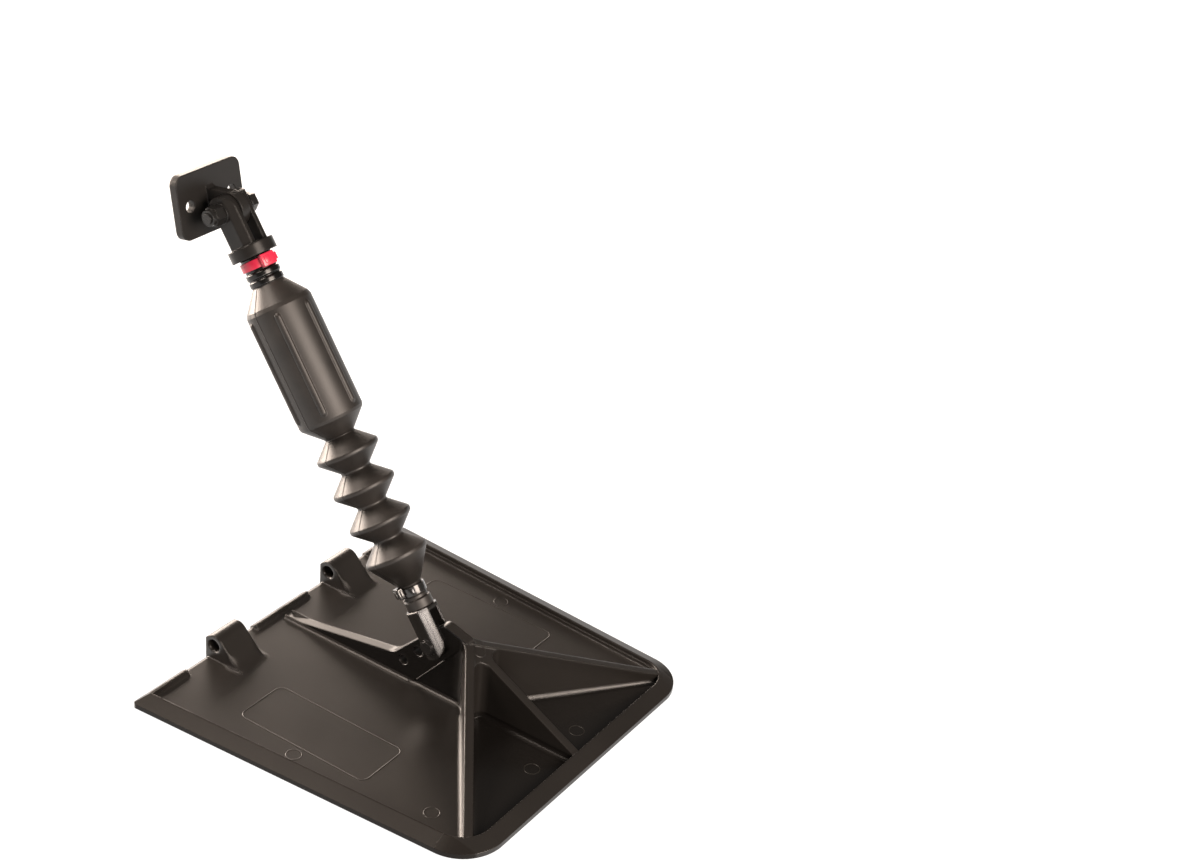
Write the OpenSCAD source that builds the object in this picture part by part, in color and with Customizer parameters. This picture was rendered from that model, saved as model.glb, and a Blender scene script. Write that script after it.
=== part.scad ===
// Boat trim tab: a tapered moulded plate that hinges on the transom, with a gas
// spring in a rubber boot between a finned tower on the plate and a transom bracket.
// Origin: middle of the hinge axis. +X along the hinge, +Y forward, +Z up.

/* [Plate] */
// Width of the plate at the hinge edge
hinge_span = 254.3; // [230:0.1:290]
// Width of the plate at the trailing edge, measured to its square corners
trail_span = 223.5; // [200:0.5:254]
// Distance from the hinge axis back to the trailing edge
chord = 234.5; // [220:0.5:270]
// Distance from the hinge axis forward to the front edge
front_overhang = 6.5; // [6:0.1:7]
// Height of the hinge axis above the running face
hinge_h = 12.5; // [12:0.1:18]
// Thickness of the plate's floor
floor_t = 2.8; // [2.2:0.1:3.4]
// Thickness of the plate's outer edge
edge_t = 3.9; // [3.5:0.1:5]
// Height of the rim's ridge above the running face
rim_h = 7.9; // [7:0.1:10]
// Width of the sloping flank between the outer edge and the ridge
flank_w = 8.8; // [7:0.1:11]
// Width of the ridge's flat top
ridge_w = 1; // [0.6:0.1:1.6]
// Width of the ledge half way down the rim's inner wall
ledge_w = 0.9; // [0.5:0.1:1.4]
// Size of the fillet between the rim and the floor
rim_root = 1.2; // [0.6:0.1:2]
// Bevel on the lower outer edge
edge_bevel = 0.8; // [0.4:0.1:1.2]
// Radius of the trailing corners
rear_corner_r = 28; // [20:1:40]
// Radius of the hinge corners
front_corner_r = 4; // [3:0.5:8]
// Thickness of the front edge under its sloping face
front_edge_t = 3; // [2.4:0.1:3.6]
// Width of the sloping face of the front strips
front_flank_w = 3.2; // [2.6:0.1:4]
// Height of the front strips above the running face
strip_h = 5.6; // [5:0.1:6.4]
// Width of the front strips' flat top
strip_top_w = 2; // [1.2:0.1:2.6]
// Width of the ledge half way down the front strips' inner wall
strip_ledge_w = 1.6; // [0.8:0.1:2]
// Width of the sloping lip along the front edge beside the lugs
lip_w = 2.4; // [1.5:0.1:3]
// Drop of that lip
lip_drop = 1.6; // [1:0.1:2]

/* [Hinge lugs] */
// Distance between the middles of the two lugs
lug_pitch = 106; // [90:1:130]
// Width of each lug along the hinge axis
lug_w = 22; // [18:0.5:28]
// Bore of the lugs
hinge_bore_d = 8; // [6:0.1:9]
// Chamfer at each end of the bore
bore_chamfer = 0.8; // [0.3:0.1:1]
// Radius of the lugs' round tops
lug_r = 7.4; // [7:0.1:8.5]
// Distance from the hinge axis back to the foot of the lug's slope
lug_foot = 20; // [16:0.5:28]
// Size of the fillet at the foot of the lug's slope
lug_root = 4; // [2:0.5:6]
// Clear space between a lug and the front edge's middle strip
gap_inner = 17.5; // [10:0.5:20]
// Clear space between a lug and the front edge's outer strip
gap_outer = 21; // [12:0.5:24]

/* [Spine and ribs] */
// Thickness of the spine where the actuator straddles it
spine_t = 6.8; // [5.6:0.1:8]
// Thickness of the spine behind the tower
web_t = 5.4; // [4:0.1:5.6]
// Distance from the hinge axis back to the tip of the spine
spine_tip = 4; // [3:0.5:12]
// Rise of the spine's front ramp in degrees
ramp_rise = 9.7; // [8:0.1:12]
// Radius of the hollow where the ramp meets the tower
knee_r = 14; // [8:1:24]
// Distance from the hinge axis back to the lower pin
pin_back = 120.6; // [115:0.1:126]
// Height of the lower pin above the running face
pin_h = 38.8; // [36:0.1:42]
// Distance between neighbouring pin holes in the tower
hole_pitch = 16; // [14:0.5:17]
// Slope of the row of pin holes in degrees
hole_row = 46; // [42:1:50]
// Distance from the row of holes to the tower's front edge
tower_margin = 7; // [6:0.1:8]
// Distance from the lower pin up to the tower's crest along the row
crest_reach = 16; // [14:0.5:17]
// Radius of the tower's crest
crest_r = 5; // [2:0.5:7]
// Distance from the hinge axis back to the foot of the thicker front part of the spine
pad_foot = 104; // [98:1:110]
// Lean of the edge behind that thicker part, in degrees from level
pad_lean = 50; // [44:1:60]
// Distance from the hinge axis back to the point where the ribs meet
apex_back = 144.5; // [142:0.5:149]
// Height of the point where the ribs meet, above the running face
apex_h = 50; // [48:0.5:52]
// Thickness of the three ribs
rib_t = 5.5; // [4:0.1:7]
// Radius of the rear pockets' front corners
pocket_r = 6; // [4:0.5:8]
// Radius of the corners between the spine and the side ribs
side_r = 14; // [3:0.5:16]
// Size of the fillets at the foot of the spine and the ribs
rib_root = 2.4; // [1:0.1:3]

/* [Actuator] */
// Lean of the actuator from upright, forward, in degrees
lean = 35.4; // [30:0.1:40]
// Diameter of the lower pin and of the upper bolt
pin_d = 6.3; // [5:0.1:7]
// Running clearance on the radius of the pin and bolt
pin_clear = 0.05; // [0.02:0.01:0.1]
// Clearance on each side of a tongue in its fork
fork_clear = 0.3; // [0.2:0.05:0.5]
// Travel of the gas spring
stroke = 48; // [30:1:50]

/* [Lower clevis] */
// Width of the clevis along the pin
clevis_w = 17.4; // [16:0.1:22]
// Depth of the clevis across the pin
clevis_d = 18; // [16:0.5:20]
// Chamfer on the long edges of the clevis
clevis_chamfer = 4.2; // [3:0.1:4.6]
// Distance from the lower pin up to the shoulder under the boot
clevis_shoulder = 23; // [22:0.5:26]
// Thickness of metal between the slot and the shoulder
clevis_bridge = 2.6; // [2:0.1:3.4]
// Radius of the spigot in the boot's lower neck
lower_spigot_r = 5.6; // [5.2:0.1:6]
// Length of that spigot
lower_spigot_l = 16; // [15:0.5:17]
// Height of the lower pin's head
pin_head_h = 2.2; // [1.5:0.1:3]
// Radius of the lower pin's head
pin_head_r = 5.2; // [4.5:0.1:5.8]
// Radius of the head's raised middle as a part of its own radius
pin_head_step = 0.8; // [0.6:0.05:0.9]
// Thickness of the spring clip on the lower pin
clip_t = 1; // [0.8:0.1:1.4]

/* [Gas spring] */
// Diameter of the piston rod
rod_d = 8; // [6:0.5:9]
// Outer diameter of the cylinder tube
tube_d = 24; // [20:0.5:26]
// Wall of the cylinder tube
tube_wall = 1.5; // [1:0.1:2]
// Distance from the barrel's lower shoulder up to the cylinder's lower end
tube_seat = 1.7; // [1:0.1:3]
// Clearance between the cylinder's upper rim and the boot's cone
tube_gap = 0.6; // [0.4:0.1:1.5]
// Length of the rod gland
gland_l = 8; // [6:0.5:8.5]
// Length of the rod seal
seal_l = 3; // [2:0.5:3]
// Length of the piston
piston_l = 7; // [5:0.5:7]
// Height of the nut above the piston
piston_nut_h = 3.2; // [2:0.1:3.4]
// Length of the cylinder's end plug
plug_l = 5.5; // [4:0.5:5.5]
// Space left above the piston's nut at full travel
end_gap = 1; // [0.5:0.1:1.5]
// Space left under the piston when the gas spring is out
rest_gap = 3.3; // [0.5:0.1:4]
// Running clearance on the radius of the rod and the piston
bore_clear = 0.06; // [0.03:0.01:0.1]

/* [Rubber boot] */
// Radius of the boot's barrel
barrel_r = 20.2; // [18:0.1:22]
// Distance from the lower pin up to the barrel's lower shoulder
barrel_low = 148.3; // [146:0.1:150]
// Radius of the pleats
pleat_r = 19.4; // [17:0.1:21]
// Radius of the valleys between the pleats
valley_r = 9.3; // [8.8:0.1:11]
// Distance between neighbouring pleats
pleat_pitch = 22.6; // [22:0.1:22.8]
// Number of pleats
pleat_count = 4; // [4]
// Half the width of each pleat's edge
pleat_edge = 1.2; // [0.3:0.1:1.6]
// Half the width of each valley's bottom
valley_edge = 0.8; // [0.3:0.1:1.2]
// Softening of the barrel's shoulders
shoulder = 1; // [0.5:0.1:2]
// Wall of the boot
boot_wall = 1.6; // [1.2:0.1:2]
// Height of the bead at the boot's lower end
foot_bead = 1.6; // [0.8:0.1:2]
// Length of that bead
foot_bead_l = 6; // [4:0.1:7]
// Height of the two ring beads on the upper neck
neck_bead = 0.8; // [0.4:0.1:1.2]
// Depth of the grooves under the ties
groove_depth = 0.4; // [0.2:0.1:0.6]
// Number of long beads on the barrel
bead_count = 6; // [4:1:8]
// Direction of the first bead round the actuator in degrees
bead_turn = 39; // [0:1:60]
// Radius of the rounded beads
bead_r = 2.6; // [1.4:0.1:3]
// Height of the beads above the barrel
bead_rise = 0.9; // [0.5:0.1:1.2]
// Distance from the barrel's shoulders to the ends of the beads
bead_inset = 4; // [2:0.5:10]

/* [Upper yoke] */
// Width of the yoke along the upper bolt
yoke_w = 20; // [18:0.5:24]
// Depth of the yoke across the upper bolt
yoke_d = 19; // [16:0.5:20]
// Chamfer on the long edges of the yoke
yoke_chamfer = 4; // [3:0.1:4.6]
// Radius of the yoke's round flange
flange_r = 14; // [12:0.5:16]
// Thickness of the flange
flange_t = 7.2; // [5:0.1:9]
// Distance from the flange's upper face to the upper bolt
yoke_reach = 22.7; // [20:0.1:26]
// Radius of the spigot in the boot's upper neck
upper_spigot_r = 8.2; // [7.6:0.1:8.4]
// Length of that spigot
upper_spigot_l = 15; // [12:0.5:15]
// Distance that the boot's upper neck runs past the spigot
neck_extra = 2.4; // [1:0.1:3]
// Distance from the cylinder's upper end up to the boot's upper neck
cone_run = 6; // [4:0.1:8]
// Diameter of the stud between the cylinder and the yoke
stud_d = 10; // [8:0.5:12]

/* [Ties] */
// Width of the upper tie
upper_tie_w = 5.4; // [4:0.1:6]
// Width of the lower tie
lower_tie_w = 5.6; // [3.6:0.1:5.8]
// Thickness of the ties' bands
tie_t = 1.2; // [0.8:0.1:1.6]
// Height of the ties' heads
tie_head_h = 3.8; // [3:0.1:5]
// Length of a tie's head as a multiple of its band's width
tie_head_long = 1.7; // [1.3:0.05:2]
// Width of a tie's head as a multiple of its band's width
tie_head_wide = 1.45; // [1.2:0.05:1.6]
// Distance from the clevis's shoulder up to the middle of the lower tie
lower_tie_rise = 11.9; // [11:0.1:12]
// Distance from the upper tie up to the yoke's flange
upper_tie_gap = 1.7; // [1.6:0.1:2]
// Direction of the upper tie's head round the actuator in degrees
upper_tie_turn = 257; // [0:1:359]
// Direction of the lower tie's head round the actuator in degrees
lower_tie_turn = 155; // [0:1:359]

/* [Transom bracket] */
// Width of the bracket's plate
bracket_w = 52.3; // [46:0.1:60]
// Height of the bracket's plate
bracket_h = 39; // [34:0.5:46]
// Thickness of the bracket's plate
bracket_t = 5.2; // [4:0.1:7]
// Corner radius of the bracket's plate
bracket_corner_r = 6; // [3:0.5:9]
// Distance from the upper bolt to the plate
bracket_reach = 16.3; // [15:0.1:20]
// Height of the plate's middle above the upper bolt
bracket_rise = 4; // [2:0.5:8]
// Lean of the bracket from upright, forward, in degrees
bracket_lean = 10; // [0:1:25]
// Distance between the bracket's two screw holes
screw_pitch = 34; // [30:0.5:40]
// Diameter of the screw holes
screw_d = 7.2; // [5:0.1:8]
// Thickness of the tongue between the yoke's arms
tongue_t = 6; // [5:0.1:9]
// Radius of the tongue's round end
tongue_r = 10.8; // [7.5:0.1:11]
// Widening of the tongue where it meets the plate
tongue_flare = 2; // [1:0.5:4]
// Wall of the bush in the tongue
bush_wall = 1.4; // [1:0.1:2]

/* [Fasteners] */
// Width across the flats of the upper bolt's head and nut
hex_flats = 10.6; // [10:0.1:12]
// Height of the upper bolt's head
bolt_head_h = 4.6; // [4:0.1:6]
// Height of the upper nut
nut_h = 9.4; // [5:0.1:10]
// Part of the nut's height that is hexagonal
nut_hex = 0.7; // [0.5:0.05:0.8]
// Radius of the nut's round collar as a part of half its flats
nut_collar = 0.92; // [0.8:0.02:0.96]
// How far the bolt's end stands out of the nut
bolt_end = 1; // [0.5:0.1:2]
// Thickness of the washers
washer_t = 1.2; // [0.8:0.1:2]
// Radius of the washers
washer_r = 6.4; // [6.2:0.1:8]

/* [Hidden] */
$fn = 64;

plate_colour = [0.16, 0.15, 0.14];
rubber_colour = [0.13, 0.12, 0.12];
gloss_colour = [0.08, 0.08, 0.08];
steel_colour = [0.62, 0.63, 0.65];
tie_colour = [0.80, 0.10, 0.20];

// Small overlap that lets one cut run past a face
eps = 0.5;
// How far the middle of a hollow fillet stands out, as a part of its size
hollow_k = 0.3;
// How far the rim's straight sides are set in from its corners, and how far they run into them
seam = 0.03;
side_lap = 0.3;
// Height of the ribs' tops where they run into the rim, just under its ridge
rib_low = rim_h - 0.15;

rim_w = flank_w + ridge_w + ledge_w;
ledge_h = (rim_h + floor_t) / 2;
plan = [[hinge_span / 2, front_overhang], [-hinge_span / 2, front_overhang],
    [-trail_span / 2, -chord], [trail_span / 2, -chord]];
plan_r = [front_corner_r, front_corner_r, rear_corner_r, rear_corner_r];
lug_in = lug_pitch / 2 - lug_w / 2;
lug_out = lug_pitch / 2 + lug_w / 2;

pin = [-pin_back, pin_h];
row_down = [cos(hole_row), -sin(hole_row)];
row_out = [sin(hole_row), cos(hole_row)];
ramp_k = tan(ramp_rise);
edge_start = pin + tower_margin * row_out;
knee_s = (edge_start[1] - floor_t - (-spine_tip - edge_start[0]) * ramp_k)
    / (sin(hole_row) - cos(hole_row) * ramp_k);
knee = edge_start + knee_s * row_down;
crest = edge_start - crest_reach * row_down;
pin_hole_r = pin_d / 2 + pin_clear;

slot_w = spine_t + 2 * fork_clear;
clevis_slot = clevis_shoulder - clevis_bridge;
yoke_slot = tongue_t + 2 * fork_clear;
lower_neck_top = clevis_shoulder + lower_spigot_l;
fit_clear = 0.05;
tie_clear = 0.15;

tube_r = tube_d / 2;
tube_bore_r = tube_r - tube_wall;
tube_low = barrel_low + tube_seat;
tube_l = gland_l + seal_l + rest_gap + piston_l + piston_nut_h + stroke + end_gap + plug_l;
tube_high = tube_low + tube_l;
upper_neck_low = tube_high + cone_run;
flange_low = upper_neck_low + neck_extra + upper_spigot_l;
flange_top = flange_low + flange_t;
pin_to_bolt = flange_top + yoke_reach;
seal_top = tube_low + gland_l + seal_l;
piston_low = tube_high - plug_l - stroke - piston_l - piston_nut_h - end_gap;
piston_r = tube_bore_r - bore_clear;
ring_h = 2.4;
ring_depth = 1.8;

first_pleat = barrel_low - (barrel_r - valley_r) - (pleat_count - 0.5) * pleat_pitch;
boot_split = barrel_low - (barrel_r - valley_r);
lower_groove_r = lower_spigot_r + fit_clear + boot_wall - groove_depth;
upper_groove_r = upper_spigot_r + fit_clear + boot_wall - groove_depth;
// The cone over the barrel is as steep as the cylinder's upper rim lets it be
cone_share = (barrel_r - boot_wall - tube_r - tube_gap) / (barrel_r - boot_wall - upper_spigot_r - fit_clear);
barrel_high = (tube_high - cone_share * upper_neck_low) / (1 - cone_share) + shoulder;
lower_tie_at = clevis_shoulder + lower_tie_rise;
upper_tie_at = flange_low - upper_tie_gap - upper_tie_w / 2;
lower_neck_r = lower_groove_r + groove_depth;

bush_r = pin_hole_r + bush_wall;
hex_r = hex_flats / 2 / cos(30);

function unit(v) = v / norm(v);
function wrap(a) = a > 180 ? a - 360 : a < -180 ? a + 360 : a;
function polar(a) = [cos(a), sin(a)];

// Middle, first angle and sweep of the arc of radius r that rounds corner b
function arc_at(a, b, c, r) =
    let (u = unit(a - b), v = unit(c - b), half = acos(u * v) / 2)
    let (m = b + unit(u + v) * r / sin(half))
    let (p = b + u * r / tan(half) - m, q = b + v * r / tan(half) - m)
    let (start = atan2(p[1], p[0]))
    [m, start, wrap(atan2(q[1], q[0]) - start)];
function arc_points(a, b, c, r, n) =
    let (f = arc_at(a, b, c, r))
    [for (i = [0:n]) f[0] + r * polar(f[1] + f[2] * i / n)];

function plan_at(i) = plan[(i + 4) % 4];
function plan_arc(i) = arc_at(plan_at(i - 1), plan_at(i), plan_at(i + 1), plan_r[i]);
function plan_end(i, k) =
    let (f = plan_arc(i))
    f[0] + plan_r[i] * polar(f[1] + k * f[2]);
function inset_arc(i, inset, n) =
    let (f = plan_arc(i))
    [for (k = [0:n]) f[0] + (plan_r[i] - inset) * polar(f[1] + f[2] * k / n)];

// Section of the rim: x runs inward from the outer edge, y runs up. The straight sides are
// set in by a hair, so that they end inside the corners
function rim_section(set_in) = let (x = set_in, wall = flank_w + ridge_w + set_in)
    [[edge_bevel + x, 0], [x, edge_bevel], [x, edge_t - x], [flank_w + x, rim_h - x],
    [wall, rim_h - x], [wall, ledge_h - x], [rim_w + x, ledge_h - x], [rim_w + x, floor_t + rim_root],
    [rim_w + x + hollow_k * rim_root, floor_t + hollow_k * rim_root], [rim_w + x + rim_root, floor_t],
    [rim_w + x + rim_root, 0]];
// Section of the front strips between the gaps
function strip_section() = let (x = 2 * seam, wall = front_flank_w + strip_top_w + x)
    let (foot = wall + strip_ledge_w, ledge = (strip_h + floor_t) / 2)
    [[edge_bevel + x, 0], [x, edge_bevel], [x, front_edge_t - x], [front_flank_w + x, strip_h - x],
    [wall, strip_h - x], [wall, ledge], [foot, ledge], [foot, floor_t + rim_root / 2],
    [foot + hollow_k * rim_root / 2, floor_t + hollow_k * rim_root / 2], [foot + rim_root / 2, floor_t],
    [foot + rim_root / 2, 0]];
// Plain front edge beside the lugs, with its sloping lip
function lip_section() = let (x = 3 * seam)
    [[edge_bevel + x, 0], [x, edge_bevel], [x, floor_t - lip_drop], [lip_w + x, floor_t],
    [rim_w, floor_t], [rim_w, 0]];

// Runs a section along the straight line from p to q, with its x to the left of the line,
// and past both ends by lap
module run(p, q, section, lap = 0) {
    d = q - p;
    start = p - lap * unit(d);
    translate([start[0], start[1], 0])
        rotate([90, 0, atan2(d[0], -d[1])])
            linear_extrude(norm(d) + 2 * lap) polygon(section);
}

module rim_corner(i) {
    f = plan_arc(i);
    translate([f[0][0], f[0][1], 0])
        rotate([0, 0, f[1]])
            rotate_extrude(angle = f[2])
                polygon([for (s = rim_section(0)) [plan_r[i] - s[0], s[1]]]);
}

// Everything behind the front edge's sloping face and inside the rounded hinge corners
module behind_front() {
    climb = front_flank_w / (strip_h - front_edge_t);
    intersection() {
        slab(2 * hinge_span) polygon([[-chord, -eps], [front_overhang - edge_bevel - eps, -eps],
            [front_overhang, edge_bevel], [front_overhang, front_edge_t],
            [front_overhang - climb * (hinge_h - front_edge_t), hinge_h], [-chord, hinge_h]]);
        translate([0, 0, -eps]) linear_extrude(hinge_h + 2 * eps)
            polygon([for (i = [0:3]) each inset_arc(i, 0, 12)]);
    }
}

module rim() {
    side = rim_section(seam);
    for (i = [2, 3]) rim_corner(i);
    run(plan_end(2, 1), plan_end(3, 0), side, side_lap);
    intersection() {
        union() {
            run(plan[1] + rim_w * unit(plan[1] - plan[2]), plan_end(2, 0), side, side_lap);
            run(plan_end(3, 1), plan[0] + rim_w * unit(plan[0] - plan[3]), side, side_lap);
        }
        behind_front();
    }
    end = hinge_span / 2 - flank_w;
    inner = lug_in - gap_inner;
    outer = lug_out + gap_outer;
    run([end, front_overhang], [-end, front_overhang], lip_section());
    for (x = [[end, outer], [inner, -inner], [-outer, -end]])
        run([x[0], front_overhang], [x[1], front_overhang], strip_section());
}

module tray_floor() {
    inset = rim_w / 2;
    front = hinge_span / 2 - inset;
    linear_extrude(floor_t)
        polygon(concat([[front, front_overhang - inset], [-front, front_overhang - inset]],
            inset_arc(2, inset, 10), inset_arc(3, inset, 10)));
}

// Extrudes a section drawn in (y, z) along X, centred on x = 0
module slab(thick) {
    rotate([90, 0, 90]) linear_extrude(thick, center = true) children();
}

module cross_hole(p, r, length) {
    translate([0, p[0], p[1]]) rotate([0, 90, 0]) cylinder(r = r, h = length, center = true);
}

module lug() {
    foot = [-lug_foot, floor_t];
    axis = [0, hinge_h];
    reach = norm(axis - foot);
    climb = atan2(axis[1] - foot[1], axis[0] - foot[0]) + asin(lug_r / reach);
    touch = foot + sqrt(reach * reach - lug_r * lug_r) * polar(climb);
    flare = lug_root * unit(touch - foot);
    slab(lug_w) difference() {
        union() {
            polygon([foot, touch, axis, [lug_r, hinge_h], [lug_r, 0], [-lug_foot, 0]]);
            polygon([foot - [lug_root, 0], foot + hollow_k * (flare - [lug_root, 0]), foot + flare, [0, 0],
                [-lug_foot - lug_root, 0]]);
            translate(axis) circle(lug_r);
        }
        translate([front_overhang, -eps]) square([lug_r, hinge_h + 2 * lug_r]);
    }
}

module lug_bores() {
    cross_hole([0, hinge_h], hinge_bore_d / 2, 2 * lug_out + 2 * eps);
    for (side = [-1, 1], end = [-1, 1])
        translate([side * lug_pitch / 2 + end * lug_w / 2, 0, hinge_h])
            rotate([0, -90 * end, 0])
                cylinder(r1 = hinge_bore_d / 2 + bore_chamfer, r2 = hinge_bore_d / 2, h = bore_chamfer);
}

function spine_outline() = concat(
    [[-spine_tip, 0], [-spine_tip, floor_t]],
    arc_points([-spine_tip, floor_t], knee, crest, knee_r, 8),
    arc_points(knee, crest, [-apex_back, apex_h], crest_r, 6),
    [[-apex_back, apex_h], [-apex_back, 0]]);

module spine() {
    far = 2 * apex_h;
    slab(web_t) polygon(spine_outline());
    slab(spine_t) intersection() {
        polygon(spine_outline());
        polygon([[-pad_foot, 0], [-pad_foot - far * cos(pad_lean), far * sin(pad_lean)], [0, far], [0, 0]]);
    }
}

// Fillet along the foot of a wall, on both sides of the line from p to q
module foot_fillets(p, q, wall) {
    section = [[-eps, -eps], [rib_root, -eps], [rib_root, 0], [hollow_k * rib_root, hollow_k * rib_root],
        [0, rib_root], [-eps, rib_root]];
    side = wall / 2 * unit([-(q - p)[1], (q - p)[0]]);
    translate([0, 0, floor_t]) {
        run(p + side, q + side, section);
        run(q - side, p - side, section);
    }
}

apex = [0, -apex_back];
function rear_ridge(i) =
    let (f = plan_arc(i))
    f[0] + (plan_r[i] - flank_w - ridge_w) * unit(plan[i] - f[0]);
rib_ends = [rear_ridge(2), [0, -chord + flank_w + ridge_w], rear_ridge(3)];
function bearing(p) = atan2(p[1], p[0]);
function positive(a) = a < 0 ? a + 360 : a;
rib_turn = [for (e = rib_ends) positive(bearing(e - apex))];

module rib(end) {
    length = norm(end - apex);
    translate([apex[0], apex[1], 0])
        rotate([90, 0, bearing(end - apex)])
            linear_extrude(rib_t, center = true)
                polygon([[0, 0], [0, apex_h], [length, rib_low], [length + rim_w / 2, rib_low - rim_w / 4],
                    [length + rim_w / 2, 0]]);
    start = apex + 2 * rib_t * unit(end - apex);
    foot_fillets(start, end, rib_t);
}

// Rounded corner between two walls that leave the apex at angles a and b, under the plane
// that holds both walls' tops, which fall by fall_a and fall_b for each unit of length
module apex_corner(a, b, r, fall_a, fall_b) {
    half = (b - a) / 2;
    hollow = (rib_t / 2 + r) / sin(half) * polar(a + half);
    reach = (rib_t / 2 + r) / tan(half);
    ux = polar(a);
    uy = polar(b);
    det = ux[0] * uy[1] - ux[1] * uy[0];
    down = [fall_a * uy[1] - fall_b * ux[1], fall_b * ux[0] - fall_a * uy[0]] / det;
    translate([apex[0], apex[1], 0]) intersection() {
        linear_extrude(2 * apex_h) difference() {
            polygon([[0, 0], reach * polar(a), reach * polar(a) + rib_t / 2 * polar(a + 90), hollow,
                reach * polar(b) - rib_t / 2 * polar(b + 90), reach * polar(b)]);
            translate(hollow) circle(r);
        }
        translate([0, 0, apex_h])
            rotate([0, atan(norm(down)), bearing(down)])
                translate([-apex_h, -apex_h, -4 * apex_h]) cube([2 * apex_h, 2 * apex_h, 4 * apex_h]);
    }
}

function rib_fall(i) = (apex_h - rib_low) / norm(rib_ends[i] - apex);
spine_fall = (apex_h - crest[1]) / norm([-apex_back - crest[0], apex_h - crest[1]]);

module pyramid() {
    for (e = rib_ends) rib(e);
    translate([apex[0], apex[1], 0]) cylinder(d = web_t, h = apex_h);
    apex_corner(rib_turn[0], rib_turn[1], pocket_r, rib_fall(0), rib_fall(1));
    apex_corner(rib_turn[1], rib_turn[2], pocket_r, rib_fall(1), rib_fall(2));
    apex_corner(90, rib_turn[0], side_r, spine_fall, rib_fall(0));
    apex_corner(rib_turn[2], 90 + 360, side_r, rib_fall(2), spine_fall);
}

module tab_plate() {
    color(plate_colour) translate([0, 0, -hinge_h]) difference() {
        union() {
            tray_floor();
            rim();
            for (side = [-1, 1]) translate([side * lug_pitch / 2, 0, 0]) lug();
            spine();
            foot_fillets([0, -spine_tip], [0, -pad_foot], spine_t);
            foot_fillets([0, -pad_foot], [0, -apex_back], web_t);
            pyramid();
        }
        lug_bores();
        for (k = [0:2]) cross_hole(pin + k * hole_pitch * row_down, pin_hole_r, spine_t + 2 * eps);
    }
}

// Places children in the actuator's own frame: origin on the lower pin, +Z along the actuator
module on_actuator() {
    translate([0, pin[0], pin[1] - hinge_h]) rotate([-lean, 0, 0]) children();
}

// Places children in the bracket's own frame: origin on the upper bolt, +Y towards the transom
module on_bracket() {
    on_actuator() translate([0, 0, pin_to_bolt]) rotate([lean - bracket_lean, 0, 0]) children();
}

module along_pin(from, to, r, sides = 64) {
    translate([from, 0, 0]) rotate([0, 90, 0]) cylinder(r = r, h = to - from, $fn = sides);
}

// Bar with chamfered long edges and one end rounded about the X axis; up is 1 or -1
module fork_bar(width, depth, chamfer, length, up) {
    x = width / 2;
    y = depth / 2;
    intersection() {
        translate([0, 0, up > 0 ? -y : -length])
            linear_extrude(length + y)
                polygon([[x, chamfer - y], [x, y - chamfer], [x - chamfer, y], [chamfer - x, y],
                    [-x, y - chamfer], [-x, chamfer - y], [chamfer - x, -y], [x - chamfer, -y]]);
        union() {
            along_pin(-x, x, y);
            translate([-x, -y, up > 0 ? 0 : -length]) cube([width, depth, length]);
        }
    }
}

module lower_clevis() {
    color(gloss_colour) on_actuator() difference() {
        union() {
            fork_bar(clevis_w, clevis_d, clevis_chamfer, clevis_shoulder, 1);
            translate([0, 0, clevis_shoulder]) cylinder(r = lower_spigot_r, h = lower_spigot_l);
        }
        translate([-slot_w / 2, -clevis_d, -clevis_d]) cube([slot_w, 2 * clevis_d, clevis_d + clevis_slot]);
        along_pin(-clevis_w, clevis_w, pin_hole_r);
        translate([0, 0, clevis_shoulder]) cylinder(d = rod_d + 2 * fit_clear, h = lower_spigot_l + eps);
    }
}

module lower_pin() {
    face = clevis_w / 2;
    color(steel_colour) on_actuator() difference() {
        union() {
            along_pin(-face, face + 3 * clip_t, pin_d / 2);
            along_pin(-face - pin_head_h / 2, -face, pin_head_r);
            along_pin(-face - pin_head_h, -face, pin_head_r * pin_head_step);
        }
        difference() {
            along_pin(face, face + clip_t, pin_d);
            along_pin(face - eps, face + clip_t + eps, pin_d / 2 - clip_t / 2);
        }
    }
}

module lower_pin_clip() {
    face = clevis_w / 2;
    inner = pin_d / 2 - clip_t / 2;
    color(steel_colour) on_actuator() difference() {
        along_pin(face, face + clip_t, pin_d / 2 + 2 * clip_t);
        along_pin(face - eps, face + clip_t + eps, inner);
        translate([face - eps, 0, -inner]) cube([clip_t + 2 * eps, pin_d, 2 * inner]);
    }
}

module piston_rod() {
    color(steel_colour) on_actuator()
        translate([0, 0, clevis_shoulder])
            cylinder(d = rod_d, h = piston_low + piston_l + piston_nut_h - clevis_shoulder);
}

module ring(r_in, r_out, low, height) {
    translate([0, 0, low]) difference() {
        cylinder(r = r_out, h = height);
        translate([0, 0, -eps]) cylinder(r = r_in, h = height + 2 * eps);
    }
}

module piston() {
    groove = piston_low + (piston_l - ring_h) / 2;
    color(steel_colour) on_actuator() difference() {
        ring(rod_d / 2 + fit_clear, piston_r, piston_low, piston_l);
        ring(piston_r - ring_depth, piston_r + eps, groove, ring_h);
    }
}

module piston_ring() {
    groove = piston_low + (piston_l - ring_h) / 2;
    color(rubber_colour) on_actuator()
        ring(piston_r - ring_depth + fit_clear, tube_bore_r - bore_clear / 2, groove, ring_h);
}

module piston_nut() {
    color(steel_colour) on_actuator()
        translate([0, 0, piston_low + piston_l]) difference() {
            cylinder(r = rod_d, h = piston_nut_h, $fn = 6);
            translate([0, 0, -eps]) cylinder(r = rod_d / 2 + fit_clear, h = piston_nut_h + 2 * eps);
        }
}

module cylinder_tube() {
    color(steel_colour) on_actuator() ring(tube_bore_r, tube_r, tube_low, tube_l);
}

module rod_gland() {
    color(steel_colour) on_actuator() ring(rod_d / 2 + bore_clear, tube_bore_r, tube_low, gland_l);
}

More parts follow.
